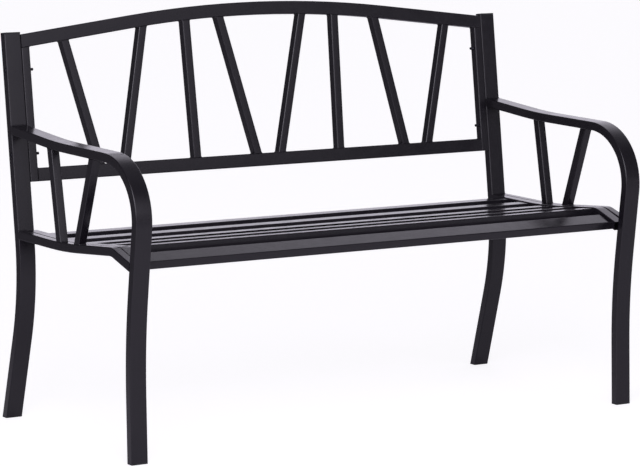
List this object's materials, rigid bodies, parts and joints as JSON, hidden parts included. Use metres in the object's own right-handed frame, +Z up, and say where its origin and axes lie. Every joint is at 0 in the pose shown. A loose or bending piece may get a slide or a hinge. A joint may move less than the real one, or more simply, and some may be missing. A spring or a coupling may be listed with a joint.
{
  "type": "metal garden bench",
  "caption": "Garden bench of bent steel tube with arms, a gently arched slatted back panel and a hollowed slatted seat panel.",
  "frame": {"origin": "on the floor, under the middle of the bench's length and depth", "axes": "+X runs along the bench to the right as seen from the front, the sitter looks towards -Y, +Z is up"},
  "size_m": [1.2736, 0.5727, 0.864],
  "materials": {
    "powder_coated_steel": "satin black powder coat",
    "moulded_plastic": "matt black moulded polyethylene",
    "black_zinc_steel": "black passivated zinc plate"
  },
  "bodies": {
    "root": {"left_rear_post": "powder_coated_steel", "right_rear_post": "powder_coated_steel", "left_front_leg_arm": "powder_coated_steel", "right_front_leg_arm": "powder_coated_steel", "left_side_rail": "powder_coated_steel", "right_side_rail": "powder_coated_steel", "left_rear_arm_slat": "powder_coated_steel", "right_rear_arm_slat": "powder_coated_steel", "left_front_arm_slat": "powder_coated_steel", "right_front_arm_slat": "powder_coated_steel", "left_post_cap": "moulded_plastic", "right_post_cap": "moulded_plastic", "left_rear_foot": "moulded_plastic", "right_rear_foot": "moulded_plastic", "left_front_foot": "moulded_plastic", "right_front_foot": "moulded_plastic", "back_top_rail": "powder_coated_steel", "back_bottom_rail": "powder_coated_steel", "left_back_stile": "powder_coated_steel", "right_back_stile": "powder_coated_steel", "back_slat_1": "powder_coated_steel", "back_slat_2": "powder_coated_steel", "back_slat_3": "powder_coated_steel", "back_slat_4": "powder_coated_steel", "back_slat_5": "powder_coated_steel", "back_slat_6": "powder_coated_steel", "back_slat_7": "powder_coated_steel", "back_slat_8": "powder_coated_steel", "left_seat_end_rail": "powder_coated_steel", "right_seat_end_rail": "powder_coated_steel", "seat_slat_1": "powder_coated_steel", "seat_slat_2": "powder_coated_steel", "seat_slat_3": "powder_coated_steel", "seat_slat_4": "powder_coated_steel", "seat_slat_5": "powder_coated_steel", "front_seat_slat": "powder_coated_steel", "back_bolts": "black_zinc_steel", "back_rivet_nuts": "black_zinc_steel", "seat_bolts": "black_zinc_steel", "seat_rivet_nuts": "black_zinc_steel"}
  },
  "joints": []
}
